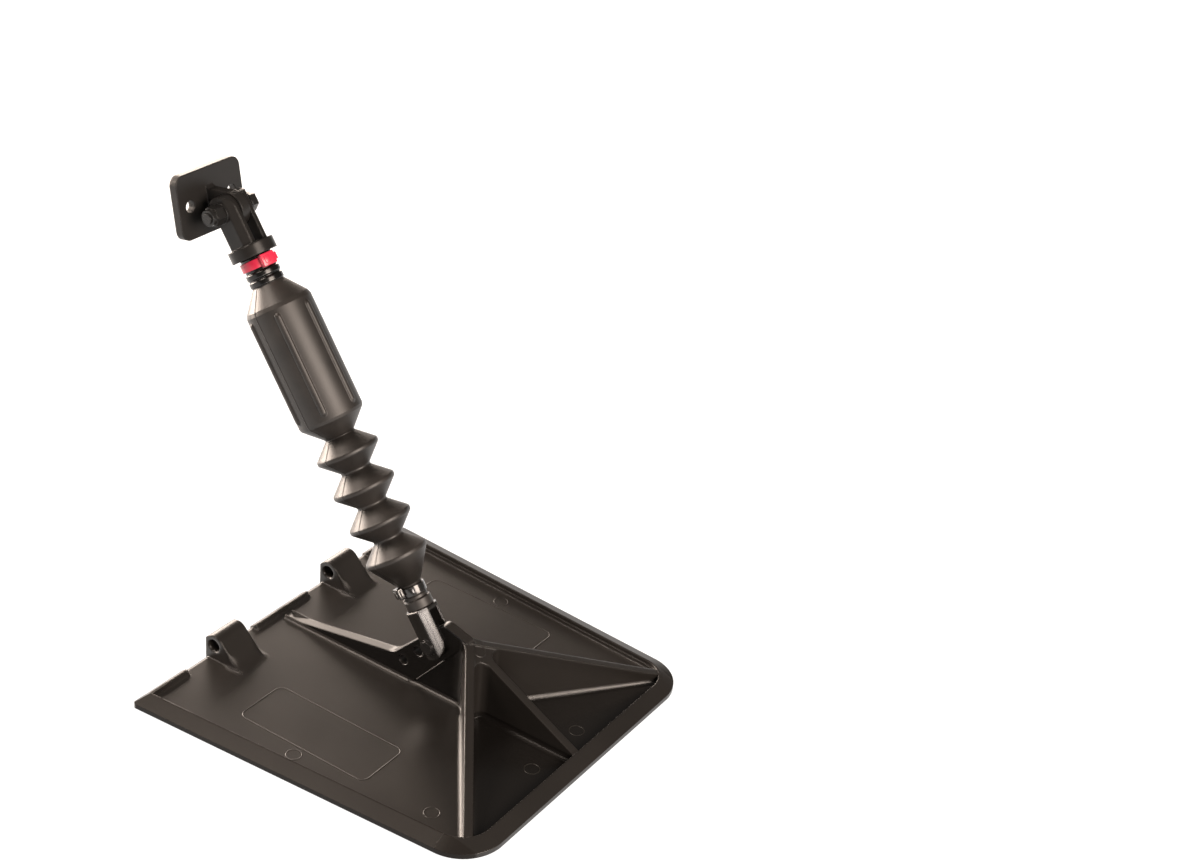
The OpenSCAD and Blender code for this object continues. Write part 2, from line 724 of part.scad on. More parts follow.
module rod_seal() {
    color(rubber_colour) on_actuator()
        ring(rod_d / 2 + bore_clear / 2, tube_bore_r, tube_low + gland_l, seal_l);
}

module cylinder_plug() {
    color(steel_colour) on_actuator() {
        translate([0, 0, tube_high - plug_l]) cylinder(r = tube_bore_r - fit_clear, h = plug_l);
        translate([0, 0, tube_high - eps]) cylinder(d = stud_d, h = flange_low - tube_high + eps);
    }
}

module upper_yoke() {
    color(gloss_colour) on_actuator() difference() {
        union() {
            translate([0, 0, pin_to_bolt]) fork_bar(yoke_w, yoke_d, yoke_chamfer, yoke_reach, -1);
            translate([0, 0, flange_low]) cylinder(r = flange_r, h = flange_t);
            translate([0, 0, flange_low - upper_spigot_l]) cylinder(r = upper_spigot_r, h = upper_spigot_l);
        }
        translate([-yoke_slot / 2, -yoke_d, flange_top]) cube([yoke_slot, 2 * yoke_d, 2 * yoke_reach]);
        translate([0, 0, pin_to_bolt]) along_pin(-yoke_w, yoke_w, pin_hole_r);
        translate([0, 0, flange_low - upper_spigot_l - eps])
            cylinder(d = stud_d + 2 * fit_clear, h = upper_spigot_l + eps);
    }
}

// Strap of a cable tie, with its square head turned to one side and the stub of its tail
module tie(r, width, turn) {
    long = width * tie_head_long;
    wide = width * tie_head_wide;
    tail = [0.7 * tie_t, 1.2 * long, 0.6 * width];
    rotate([0, 0, turn]) {
        ring(r, r + tie_t, -width / 2, width);
        difference() {
            union() {
                translate([r, -long / 2, -width / 2]) cube([tie_head_h, long, width]);
                translate([r + tie_t, -long / 2, -wide / 2]) cube([tie_head_h - tie_t, long, wide]);
            }
            translate([r + tie_t, -long, -width / 3]) cube([tie_t, long, 2 / 3 * width]);
        }
        translate([r + tie_t, -0.75 * tail[1], -tail[2] / 2]) cube(tail);
    }
}

module lower_boot_tie() {
    color(gloss_colour) on_actuator()
        translate([0, 0, lower_tie_at]) tie(lower_groove_r + tie_clear, lower_tie_w, lower_tie_turn);
}

module upper_boot_tie() {
    color(tie_colour) on_actuator()
        translate([0, 0, upper_tie_at]) tie(upper_groove_r + tie_clear, upper_tie_w, upper_tie_turn);
}

// Line of the pleats from the lower neck up to the barrel, moved in by inset
function pleats(inset) = [for (k = [0:pleat_count - 1], s = [0:3])
    let (at = first_pleat + k * pleat_pitch, low = at + pleat_pitch / 2)
    s == 0 ? [pleat_r - inset, at - pleat_edge]
        : s == 1 ? [pleat_r - inset, at + pleat_edge]
        : s == 2 ? [valley_r - inset, low - valley_edge]
        : [valley_r - inset, k < pleat_count - 1 ? low + valley_edge : low]];

function back_to_front(v) = [for (i = [len(v) - 1:-1:0]) v[i]];

module boot_foot() {
    bore = lower_spigot_r + fit_clear;
    bead = lower_groove_r + foot_bead;
    low = lower_tie_at - lower_tie_w / 2 - groove_depth;
    high = lower_tie_at + lower_tie_w / 2 + groove_depth;
    color(rubber_colour) on_actuator() rotate_extrude()
        polygon([[bore, clevis_shoulder], [bead, clevis_shoulder], [bead, clevis_shoulder + foot_bead_l],
            [lower_neck_r, clevis_shoulder + foot_bead_l + groove_depth], [lower_neck_r, low - groove_depth],
            [lower_groove_r, low], [lower_groove_r, high], [lower_neck_r, high + groove_depth],
            [lower_neck_r, lower_neck_top], [bore, lower_neck_top]]);
}

module boot_bellows() {
    bore = lower_spigot_r + fit_clear;
    outer = concat([[lower_neck_r, lower_neck_top]], pleats(0));
    inner = concat([[bore, lower_neck_top]], pleats(boot_wall));
    color(rubber_colour) on_actuator() rotate_extrude() polygon(concat(outer, back_to_front(inner)));
}

module boot_bead() {
    length = barrel_high - barrel_low - 2 * bead_inset;
    translate([barrel_r + bead_rise - bead_r, 0, barrel_low + bead_inset]) rotate_extrude()
        polygon([[0, 0], [0.7 * bead_r, 0.3 * bead_r], [bead_r, bead_r], [bead_r, length - bead_r],
            [0.7 * bead_r, length - 0.3 * bead_r], [0, length]]);
}

module boot_barrel() {
    bore = upper_spigot_r + fit_clear;
    neck = upper_groove_r + neck_bead;
    tie_low = upper_tie_at - upper_tie_w / 2 - groove_depth;
    mid = (tie_low + upper_neck_low) / 2;
    inner_r = barrel_r - boot_wall;
    outer = [[valley_r, boot_split], [barrel_r - shoulder, barrel_low - shoulder],
        [barrel_r, barrel_low + shoulder], [barrel_r, barrel_high - shoulder],
        [barrel_r - shoulder, barrel_high + shoulder], [upper_groove_r, upper_neck_low],
        [neck, upper_neck_low + groove_depth], [neck, mid - 2 * groove_depth],
        [upper_groove_r, mid - groove_depth / 2], [upper_groove_r, mid + groove_depth / 2],
        [neck, mid + 2 * groove_depth], [neck, tie_low - groove_depth], [upper_groove_r, tie_low],
        [upper_groove_r, flange_low]];
    inner = [[valley_r - boot_wall, boot_split], [inner_r, barrel_low + shoulder],
        [inner_r, barrel_high - shoulder], [bore, upper_neck_low], [bore, flange_low]];
    color(rubber_colour) on_actuator() difference() {
        union() {
            rotate_extrude() polygon(concat(outer, back_to_front(inner)));
            for (k = [0:bead_count - 1]) rotate([0, 0, bead_turn + 360 / bead_count * k]) boot_bead();
        }
        translate([0, 0, barrel_low + shoulder])
            cylinder(r = inner_r, h = barrel_high - barrel_low - 2 * shoulder);
    }
}

module upper_bolt() {
    face = yoke_w / 2 + washer_t;
    color(steel_colour) on_actuator() translate([0, 0, pin_to_bolt]) {
        along_pin(-face - nut_h - bolt_end, face + eps, pin_d / 2);
        along_pin(face, face + bolt_head_h, hex_r, 6);
    }
}

module upper_nut() {
    face = -yoke_w / 2 - washer_t;
    color(steel_colour) on_actuator() translate([0, 0, pin_to_bolt]) difference() {
        union() {
            along_pin(face - nut_h * nut_hex, face, hex_r, 6);
            along_pin(face - nut_h, face, hex_flats / 2 * nut_collar);
        }
        along_pin(face - nut_h - eps, face + eps, pin_hole_r);
    }
}

module upper_washers() {
    color(steel_colour) on_actuator() translate([0, 0, pin_to_bolt])
        for (side = [-1, 1]) difference() {
            translate([side * (yoke_w + washer_t) / 2, 0, 0]) along_pin(-washer_t / 2, washer_t / 2, washer_r);
            along_pin(-yoke_w, yoke_w, pin_hole_r);
        }
}

module bracket_bush() {
    color(steel_colour) on_bracket() difference() {
        along_pin(-tongue_t / 2, tongue_t / 2, bush_r);
        along_pin(-tongue_t, tongue_t, pin_hole_r);
    }
}

module bracket_plan() {
    r = bracket_corner_r;
    square([bracket_w - 2 * r, bracket_h], center = true);
    square([bracket_w, bracket_h - 2 * r], center = true);
    for (sx = [-1, 1], sy = [-1, 1])
        translate([sx * (bracket_w / 2 - r), sy * (bracket_h / 2 - r)]) circle(r);
}

module transom_bracket() {
    back = bracket_reach + bracket_t;
    color(plate_colour) on_bracket() difference() {
        union() {
            translate([0, back, bracket_rise])
                rotate([90, 0, 0]) linear_extrude(bracket_t) bracket_plan();
            slab(tongue_t) {
                circle(tongue_r);
                translate([0, -tongue_r]) square([bracket_reach + eps, 2 * tongue_r]);
                polygon([[bracket_reach - tongue_flare, -tongue_r],
                    [bracket_reach + eps, -tongue_r - tongue_flare],
                    [bracket_reach + eps, tongue_r + tongue_flare],
                    [bracket_reach - tongue_flare, tongue_r]]);
            }
        }
        along_pin(-tongue_t, tongue_t, bush_r + fit_clear);
        for (side = [-1, 1])
            translate([side * screw_pitch / 2, back + eps, bracket_rise])
                rotate([90, 0, 0]) cylinder(d = screw_d, h = bracket_t + 2 * eps);
    }
}

tab_plate();
lower_pin();
lower_pin_clip();
lower_clevis();
piston_rod();
piston();
piston_ring();
piston_nut();
lower_boot_tie();
boot_foot();
boot_bellows();
cylinder_tube();
rod_gland();
rod_seal();
cylinder_plug();
upper_yoke();
upper_boot_tie();
boot_barrel();
upper_bolt();
upper_nut();
upper_washers();
bracket_bush();
transom_bracket();
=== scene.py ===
import math
import bmesh
import bpy
from mathutils import Matrix, Vector


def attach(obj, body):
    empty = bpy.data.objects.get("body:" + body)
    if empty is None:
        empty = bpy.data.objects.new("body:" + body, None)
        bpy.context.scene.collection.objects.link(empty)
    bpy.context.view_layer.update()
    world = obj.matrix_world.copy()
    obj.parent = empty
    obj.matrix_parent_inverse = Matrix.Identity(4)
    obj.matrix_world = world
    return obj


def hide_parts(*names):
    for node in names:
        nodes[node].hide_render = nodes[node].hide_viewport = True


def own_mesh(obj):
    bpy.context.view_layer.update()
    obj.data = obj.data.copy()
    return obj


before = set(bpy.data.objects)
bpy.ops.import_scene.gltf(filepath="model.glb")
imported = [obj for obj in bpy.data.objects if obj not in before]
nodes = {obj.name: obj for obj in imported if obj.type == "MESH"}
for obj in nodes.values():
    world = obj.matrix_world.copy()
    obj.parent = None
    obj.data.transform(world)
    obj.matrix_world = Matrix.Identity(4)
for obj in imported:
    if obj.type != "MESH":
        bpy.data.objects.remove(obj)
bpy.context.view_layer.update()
MM = 0.001
TO_METRES = Matrix.Scale(MM, 4)

# Actuator frame: origin on the lower pin, w runs up along the actuator
LEAN = math.radians(35.4)
PIN = Vector((0.0, -120.6, 26.3)) * MM
ACT = Matrix.Translation(PIN) @ Matrix.Rotation(-LEAN, 4, "X")
UP = (ACT.to_3x3() @ Vector((0, 0, 1))).normalized()

# Heights on the plate, and the point where its ribs meet, in mm
FLOOR_Z = -9.7
BASE_Z = -12.5
RIB_ROOT = -144.5


# Shapes
def link(obj):
    bpy.context.scene.collection.objects.link(obj)
    return obj


def mesh_object(name, verts, faces, smooth=True):
    mesh = bpy.data.meshes.new(name)
    mesh.from_pydata([tuple(v) for v in verts], [], faces)
    mesh.update()
    for p in mesh.polygons:
        p.use_smooth = smooth
    return link(bpy.data.objects.new(name, mesh))


# Rounds the corners of an open line of (r, w) points
def soften(points, radius, steps=6):
    straight, share = 0.02, 0.48
    out = [points[0]]
    for i in range(1, len(points) - 1):
        a, b, c = (Vector(points[i + k]) for k in (-1, 0, 1))
        u, v = a - b, c - b
        reach = share * min(u.length, v.length)
        u.normalize()
        v.normalize()
        turn = math.pi - math.acos(max(-1.0, min(1.0, u.dot(v))))
        if turn < straight:
            out.append(points[i])
            continue
        t = min(radius * math.tan(turn / 2), reach)
        p, q = b + u * t, b + v * t
        for k in range(steps + 1):
            s = k / steps
            m = p * (1 - s) ** 2 + b * (2 * s * (1 - s)) + q * s ** 2
            out.append((m.x, m.y))
    out.append(points[-1])
    return out


# Adds points to a line of (r, w) points, so that no step along w is longer than the one given
def refine(points, longest):
    out = [points[0]]
    for p, q in zip(points, points[1:]):
        n = max(1, int(math.ceil(abs(q[1] - p[1]) / longest)))
        for i in range(1, n + 1):
            out.append((p[0] + (q[0] - p[0]) * i / n, p[1] + (q[1] - p[1]) * i / n))
    return out


# Closed shell of revolution about the actuator's axis, from lines of (r, w) in mm
def lathe(name, outer, inner, sides, bump=None):
    loop = outer + inner[::-1]
    verts, faces = [], []
    for j, (r, w) in enumerate(loop):
        for k in range(sides):
            a = 2 * math.pi * k / sides
            radius = r + (bump(a, w, r) if bump and j < len(outer) else 0.0)
            verts.append(ACT @ (Vector((radius * math.cos(a), radius * math.sin(a), w)) * MM))
    for j in range(len(loop)):
        here, above = j * sides, (j + 1) % len(loop) * sides
        for k in range(sides):
            beside = (k + 1) % sides
            faces.append((here + k, here + beside, above + beside, above + k))
    return mesh_object(name, verts, faces)


def rounded_box(size, bevel):
    solid = bmesh.new()
    bmesh.ops.create_cube(solid, size=1.0)
    bmesh.ops.scale(solid, vec=Vector(size), verts=solid.verts)
    edges = list(solid.edges)
    bmesh.ops.bevel(solid, geom=edges, offset=bevel, segments=3, profile=0.5, affect="EDGES")
    return solid


def placed(name, solid, matrix):
    bmesh.ops.transform(solid, matrix=matrix, verts=solid.verts)
    mesh = bpy.data.meshes.new(name)
    solid.to_mesh(mesh)
    solid.free()
    for p in mesh.polygons:
        p.use_smooth = True
    return link(bpy.data.objects.new(name, mesh))


# Low closed ridge along a path of (x, y) points in mm
def ridge_line(name, path, width, rise, place):
    sunk, crest = -0.02, 0.3
    n = len(path)
    verts, faces = [], []
    for i in range(n):
        p, a, b = Vector(path[i]), Vector(path[i - 1]), Vector(path[(i + 1) % n])
        along = (b - a).normalized()
        side = Vector((-along.y, along.x)) * width / 2
        for share, z in ((-1, sunk), (-crest, rise), (crest, rise), (1, sunk)):
            q = p + side * share
            verts.append(place @ (Vector((q.x, q.y, z)) * MM))
    for i in range(n):
        j = (i + 1) % n
        for k in range(3):
            faces.append((i * 4 + k, j * 4 + k, j * 4 + k + 1, i * 4 + k + 1))
    return mesh_object(name, verts, faces)


def round_rect(x0, y0, x1, y1, r, n=8):
    corners = ((x1 - r, y1 - r, 0), (x0 + r, y1 - r, 90), (x0 + r, y0 + r, 180), (x1 - r, y0 + r, 270))
    out = []
    for cx, cy, start in corners:
        for k in range(n + 1):
            a = math.radians(start + 90 * k / n)
            out.append((cx + r * math.cos(a), cy + r * math.sin(a)))
    return out


def circle(r, n=48):
    return [(r * math.cos(2 * math.pi * k / n), r * math.sin(2 * math.pi * k / n)) for k in range(n)]


# Shader nodes: helpers that add one node, or a short chain of them, to a material
def add(tree, kind, values):
    n = tree.nodes.new("ShaderNode" + kind)
    for socket, value in values.items():
        n.inputs[socket].default_value = value
    return n


def step(tree, kind, a, b, c=0.0):
    n = tree.nodes.new("ShaderNodeMath")
    n.operation = kind
    for socket, v in zip(n.inputs, (a, b, c)):
        if isinstance(v, float):
            socket.default_value = v
        else:
            tree.links.new(v, socket)
    return n.outputs[0]


def product(tree, first, *others):
    for value in others:
        first = step(tree, "MULTIPLY", first, value)
    return first


def largest(tree, first, *others):
    for value in others:
        first = step(tree, "MAXIMUM", first, value)
    return first


def size_of(tree, value):
    return step(tree, "ABSOLUTE", value, 0.0)


# Zero at the first limit and one at the second
def fade(tree, value, none, full):
    n = add(tree, "MapRange", {"From Min": none, "From Max": full})
    tree.links.new(value, n.inputs["Value"])
    return n.outputs["Result"]


def split(tree, vector):
    n = tree.nodes.new("ShaderNodeSeparateXYZ")
    tree.links.new(vector, n.inputs["Vector"])
    return n.outputs


# The point's place in mm
def spot(tree, coords):
    n = tree.nodes.new("ShaderNodeVectorMath")
    n.operation = "SCALE"
    n.inputs["Scale"].default_value = 1 / MM
    tree.links.new(coords.outputs["Object"], n.inputs[0])
    return split(tree, n.outputs["Vector"])


def facing(tree, coords):
    return split(tree, coords.outputs["Normal"])


def noise(tree, vector, scale, detail, rough=0.5):
    n = add(tree, "TexNoise", {"Scale": scale, "Detail": detail, "Roughness": rough})
    tree.links.new(vector, n.inputs["Vector"])
    return n.outputs["Fac"]


# Colour and roughness that follow broad noise
def broad_look(tree, coords, shader, dark, light, rough, broad):
    big = noise(tree, coords.outputs["Object"], broad, 6.0, 0.6)
    ramp = tree.nodes.new("ShaderNodeValToRGB")
    for stop, position, colour in zip(ramp.color_ramp.elements, (0.32, 0.70), (dark, light)):
        stop.position = position
        stop.color = (*colour, 1)
    tree.links.new(big, ramp.inputs["Fac"])
    tree.links.new(ramp.outputs["Color"], shader.inputs["Base Color"])
    spread = add(tree, "MapRange", {"To Min": rough[0], "To Max": rough[1]})
    tree.links.new(big, spread.inputs["Value"])
    tree.links.new(spread.outputs["Result"], shader.inputs["Roughness"])


def bumped(tree, height, depth):
    n = add(tree, "Bump", {"Strength": 1.0, "Distance": depth * MM})
    tree.links.new(height, n.inputs["Height"])
    return n


# Faint drawn lines along the actuator, from noise that is much finer across than along
STREAK_SCALE = (420.0, 420.0, 12.0)


def streaks(tree, coords, depth, under):
    spin = add(tree, "VectorRotate", {"Angle": LEAN})
    spin.rotation_type = "X_AXIS"
    tree.links.new(coords.outputs["Object"], spin.inputs["Vector"])
    pull = tree.nodes.new("ShaderNodeVectorMath")
    pull.operation = "MULTIPLY"
    pull.inputs[1].default_value = STREAK_SCALE
    tree.links.new(spin.outputs["Vector"], pull.inputs[0])
    lines = bumped(tree, noise(tree, pull.outputs["Vector"], 1.0, 2.0), depth)
    tree.links.new(under.outputs["Normal"], lines.inputs["Normal"])
    return lines


# Moves one of the shader's values to another one where the mask says so
def blend(tree, shader, socket, kind, mask, value):
    mix = tree.nodes.new("ShaderNodeMix")
    mix.data_type = kind
    factor, before, after = [i for i in mix.inputs if i.enabled]
    tree.links.new(mask, factor)
    tree.links.new(shader.inputs[socket].links[0].from_socket, before)
    after.default_value = value
    tree.links.new([o for o in mix.outputs if o.enabled][0], shader.inputs[socket])


# Materials: every one is procedural, with broad and fine variation
# Where a smooth mask applies: the roughness there, and the share of the dark colour that is kept,
# which paints shade there
SMOOTH_ROUGH, PAINTED_SHADE_SHARE = 0.22, 0.25
DULL_SPEC = 0.12
COAT_ROUGH = 0.12


def finish(name, dark, light, rough, grain, grain_depth, edge=0.0, metallic=0.0, coat=0.0, broad=14.0,
           spec=0.5, smooth_shaded_area=None, wide_edge=None, dull_area=None, streak=0.0, part="look"):
    mat = bpy.data.materials.new(name + "_" + part)
    mat.use_nodes = True
    tree = mat.node_tree
    tree.nodes.clear()
    out = tree.nodes.new("ShaderNodeOutputMaterial")
    shader = add(tree, "BsdfPrincipled", {"Metallic": metallic, "Specular IOR Level": spec,
                                          "Coat Weight": coat, "Coat Roughness": COAT_ROUGH})
    tree.links.new(shader.outputs["BSDF"], out.inputs["Surface"])
    coords = tree.nodes.new("ShaderNodeTexCoord")
    broad_look(tree, coords, shader, dark, light, rough, broad)
    grains = bumped(tree, noise(tree, coords.outputs["Object"], grain, 3.0), grain_depth)
    surface = streaks(tree, coords, streak, grains) if streak > 0 else grains
    tree.links.new(surface.outputs["Normal"], shader.inputs["Normal"])
    if edge > 0:
        rounding = add(tree, "Bevel", {"Radius": edge * MM})
        rounding.samples = 6
        if wide_edge:
            tree.links.new(wide_edge(tree, coords, edge), rounding.inputs["Radius"])
        tree.links.new(rounding.outputs["Normal"], grains.inputs["Normal"])
    # Masked faces get smoother, and their colour is darkened as painted shade
    if smooth_shaded_area:
        mask = smooth_shaded_area(tree, coords)
        blend(tree, shader, "Roughness", "FLOAT", mask, SMOOTH_ROUGH)
        blend(tree, shader, "Base Color", "RGBA", mask, (*[PAINTED_SHADE_SHARE * v for v in dark], 1))
    if dull_area:
        level = step(tree, "MULTIPLY_ADD", dull_area(tree, coords), DULL_SPEC - spec, spec)
        tree.links.new(level, shader.inputs["Specular IOR Level"])
    return mat


# Limits in mm that several masks on the plate share: the rear rim's foot and the walls' feet
REAR_RIM = (-224.6, -223.6)
WALL_FEET = (-7.8, -6.8)

# Direction square to the outer ribs' middle lines, and how fast the pockets widen
RIB_X, RIB_Y = 0.6127, 0.7905
POCKET_SLOPE = 1.265


# The pockets between the ribs are smoother than the trays and the rim, and their colour is darkened as
# painted shade
def pockets(tree, coords):
    x, y, z = spot(tree, coords)
    half = step(tree, "MULTIPLY_ADD", y, -POCKET_SLOPE, POCKET_SLOPE * RIB_ROOT)
    inside = fade(tree, step(tree, "SUBTRACT", half, size_of(tree, x)), 2.0, 5.0)
    return product(tree, inside, fade(tree, z, -4.5, -6.2), fade(tree, y, *REAR_RIM))


# So are the spine's sides, where the painted shade is strongest
def spine_sides(tree, coords):
    x, y, z = spot(tree, coords)
    sideways = fade(tree, size_of(tree, facing(tree, coords)[0]), 0.60, 0.85)
    thin = fade(tree, size_of(tree, x), 5.2, 4.6)
    return product(tree, sideways, thin, fade(tree, z, *WALL_FEET), fade(tree, y, -146.0, -144.0))


# Smoothness and painted shade on the plate: full on the spine's sides, at 0.6 in the pockets
def smooth_shaded_faces(tree, coords):
    return largest(tree, product(tree, pockets(tree, coords), 0.6), spine_sides(tree, coords))


# The lugs run out into the plate with the largest fillets
LUG_X = 52.6


def lug_feet(tree, coords):
    x, y, z = spot(tree, coords)
    off_lug = size_of(tree, step(tree, "SUBTRACT", size_of(tree, x), LUG_X))
    behind = product(tree, fade(tree, y, -40.0, -32.0), fade(tree, y, -8.0, -14.0))
    return product(tree, behind, fade(tree, z, 0.0, -4.0), fade(tree, off_lug, 20.0, 14.0))


# Distance in front of the outer ribs' middle lines, less than zero in the pockets
def before_ribs(tree, wide, y):
    across = step(tree, "MULTIPLY_ADD", wide, RIB_X, -RIB_Y * RIB_ROOT)
    return step(tree, "MULTIPLY_ADD", y, RIB_Y, across)


# The outer ribs' feet are rounder on the pockets' side, fading out towards the rim
def outer_rib_feet(tree, coords):
    x, y, z = spot(tree, coords)
    wide = size_of(tree, x)
    front = before_ribs(tree, wide, y)
    near_rib = product(tree, fade(tree, front, -16.0, -11.0), fade(tree, front, 2.0, -1.0))
    reach = product(tree, fade(tree, wide, 10.0, 16.0), fade(tree, wide, 95.0, 50.0))
    return product(tree, near_rib, reach, fade(tree, z, -1.0, -4.5))


# The feet of the spine and the ribs are rounder than the rim's edges
INNER_EDGE, RIB_EXTRA, LUG_EXTRA = 1.8, 3.0, 4.5


def inside_rim(tree, coords, edge):
    x, y, z = spot(tree, coords)
    inner = product(tree, fade(tree, size_of(tree, x), 103.0, 99.0), fade(tree, y, -221.0, -217.0))
    radius = step(tree, "MULTIPLY_ADD", inner, (INNER_EDGE - edge) * MM, edge * MM)
    radius = step(tree, "MULTIPLY_ADD", outer_rib_feet(tree, coords), RIB_EXTRA * MM, radius)
    return step(tree, "MULTIPLY_ADD", lug_feet(tree, coords), LUG_EXTRA * MM, radius)


# The rim's outer slopes, along the plate's tapered sides, are duller than the rest
SIDE_TAPER = 0.0633


def side_slopes(tree, coords):
    x, y, z = spot(tree, coords)
    across = step(tree, "MULTIPLY_ADD", y, -SIDE_TAPER, size_of(tree, x))
    return fade(tree, across, 116.0, 117.2)


# So is the top of the spine's front ramp
def ramp_top(tree, coords):
    x, y, z = spot(tree, coords)
    upward = fade(tree, facing(tree, coords)[2], 0.60, 0.85)
    thin = fade(tree, size_of(tree, x), 4.6, 4.0)
    return product(tree, upward, thin, fade(tree, z, -9.2, -8.6), fade(tree, y, -104.0, -96.0))


# And the foot of the middle rib
def middle_foot(tree, coords):
    x, y, z = spot(tree, coords)
    thin = fade(tree, size_of(tree, x), 8.0, 6.5)
    behind = product(tree, fade(tree, y, -152.0, -158.0), fade(tree, y, *REAR_RIM))
    return product(tree, thin, behind, fade(tree, z, -3.5, -5.0))


# And the ribs' sides in the pockets
def pocket_walls(tree, coords):
    x, y, z = spot(tree, coords)
    upright = fade(tree, size_of(tree, facing(tree, coords)[2]), 0.50, 0.20)
    behind = fade(tree, before_ribs(tree, size_of(tree, x), y), 1.0, -1.0)
    return product(tree, upright, behind, fade(tree, y, *REAR_RIM), fade(tree, z, *WALL_FEET))


def dull_faces(tree, coords):
    ramp = product(tree, ramp_top(tree, coords), 0.75)
    walls = largest(tree, pocket_walls(tree, coords), side_slopes(tree, coords))
    return largest(tree, ramp, middle_foot(tree, coords), walls)


# The boot's upper neck is smoother than its barrel, and its colour is darkened as painted shade
def upper_neck(tree, coords):
    x, y, z = spot(tree, coords)
    from_pin = step(tree, "MULTIPLY_ADD", z, UP.z, -PIN.dot(UP) / MM)
    along = step(tree, "MULTIPLY_ADD", y, UP.y, from_pin)
    return fade(tree, along, 234.5, 235.5)


CLEVIS_DARK, CLEVIS_LIGHT = (0.010, 0.0094, 0.0088), (0.015, 0.0141, 0.0133)
TAB = finish("tab_black", (0.012, 0.0107, 0.0096), (0.016, 0.0144, 0.0130), (0.26, 0.34),
             grain=700, grain_depth=0.012, edge=0.5, spec=0.45,
             smooth_shaded_area=smooth_shaded_faces, wide_edge=inside_rim, dull_area=dull_faces)
MARK = finish("tab_black", (0.013, 0.0116, 0.0104), (0.017, 0.0153, 0.0138), (0.33, 0.41),
              grain=700, grain_depth=0.012, spec=0.38, part="mark")
BRACKET = finish("bracket_black", (0.011, 0.0102, 0.0096), (0.016, 0.0150, 0.0142), (0.34, 0.44),
                 grain=800, grain_depth=0.012, edge=1.2, spec=0.28)
CLEVIS = finish("clevis_black", CLEVIS_DARK, CLEVIS_LIGHT, (0.16, 0.24),
                grain=500, grain_depth=0.006, edge=2.6, coat=0.3, spec=0.4, streak=0.14)
YOKE = finish("clevis_black", CLEVIS_DARK, CLEVIS_LIGHT, (0.24, 0.32),
              grain=500, grain_depth=0.006, edge=1.5, spec=0.22, part="yoke")
RUBBER = finish("boot_rubber", (0.011, 0.0098, 0.0088), (0.023, 0.0200, 0.0178), (0.36, 0.52),
                grain=1200, grain_depth=0.02, broad=38.0, spec=0.45, smooth_shaded_area=upper_neck)
RED = finish("tie_red", (0.50, 0.012, 0.045), (0.62, 0.022, 0.065), (0.26, 0.36),
             grain=600, grain_depth=0.01, edge=0.4, coat=0.3)
TIE_BLACK = finish("tie_black", (0.009, 0.009, 0.009), (0.014, 0.014, 0.014), (0.16, 0.26),
                   grain=600, grain_depth=0.008, edge=0.4, coat=0.4)
STEEL = finish("stainless", (0.50, 0.50, 0.51), (0.64, 0.64, 0.65), (0.22, 0.36),
               grain=1600, grain_depth=0.008, edge=0.3, metallic=1.0)
BOLT = finish("bolt_black", (0.009, 0.0088, 0.0086), (0.014, 0.0137, 0.0134), (0.22, 0.32),
              grain=900, grain_depth=0.008, edge=0.5, spec=0.35)
CHROME = finish("chromed_rod", (0.70, 0.70, 0.71), (0.80, 0.80, 0.81), (0.06, 0.12),
                grain=2000, grain_depth=0.003, metallic=1.0)
SEAL = finish("seal_rubber", (0.014, 0.014, 0.014), (0.022, 0.022, 0.022), (0.5, 0.6),
              grain=1500, grain_depth=0.01)
BRONZE = finish("bush_brass", (0.50, 0.34, 0.14), (0.62, 0.46, 0.20), (0.24, 0.36),
                grain=1500, grain_depth=0.006, metallic=1.0)

PAINT = {
    "tab_plate": TAB, "lower_pin": BOLT, "lower_pin_clip": STEEL, "lower_clevis": CLEVIS,
    "piston_rod": CHROME, "piston": STEEL, "piston_ring": SEAL, "piston_nut": STEEL,
    "lower_boot_tie": TIE_BLACK, "boot_foot": RUBBER, "boot_bellows": RUBBER, "cylinder_tube": STEEL,
    "rod_gland": STEEL, "rod_seal": SEAL, "cylinder_plug": STEEL, "upper_yoke": YOKE,
    "upper_boot_tie": RED, "boot_barrel": RUBBER, "upper_bolt": BOLT, "upper_nut": BOLT,
    "upper_washers": BOLT, "bracket_bush": BRONZE, "transom_bracket": BRACKET,
}
for name, obj in nodes.items():
    obj.data.materials.clear()
    obj.data.materials.append(PAINT[name])


def dress(obj, mat, body, *stands_for):
    obj.data.materials.append(mat)
    if stands_for:
        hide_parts(*stands_for)
    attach(obj, body)
    return obj


# Rubber boot, in three pieces: foot, pleats and barrel
WALL = 1.6
BORE = 5.7
SPLIT = 137.4
JOIN = 0.04
PLAIN_SIDES, PLEAT_SIDES, BARREL_SIDES = 96, 360, 480


# Thin line left by the two halves of the mould
def parting(a, w, r):
    rise, half = 0.3, 0.5
    return rise * max(0.0, 1 - abs(math.sin(a)) * r / half)


# Foot: a collar on the clevis, then a neck with a groove for the tie
COLLAR_R, NECK_R, GROOVE_R = 8.45, 7.25, 6.85
FOOT_START, COLLAR_TOP, NECK_TOP = 23.05, 29.0, 39.0
GROOVE_LOW, GROOVE_HIGH = 31.3, 38.5
SLOPE = 0.4
foot_line = [
    (BORE, FOOT_START), (COLLAR_R, FOOT_START), (COLLAR_R, COLLAR_TOP),
    (NECK_R, COLLAR_TOP + SLOPE), (NECK_R, GROOVE_LOW), (GROOVE_R, GROOVE_LOW + SLOPE),
    (GROOVE_R, GROOVE_HIGH - SLOPE), (NECK_R, GROOVE_HIGH), (NECK_R, NECK_TOP),
]
foot_in = [(BORE, FOOT_START + 0.35), (BORE, NECK_TOP)]
foot = lathe("boot_neck", soften(foot_line, 0.7), foot_in, PLAIN_SIDES)
dress(foot, RUBBER, "rod", "boot_foot")
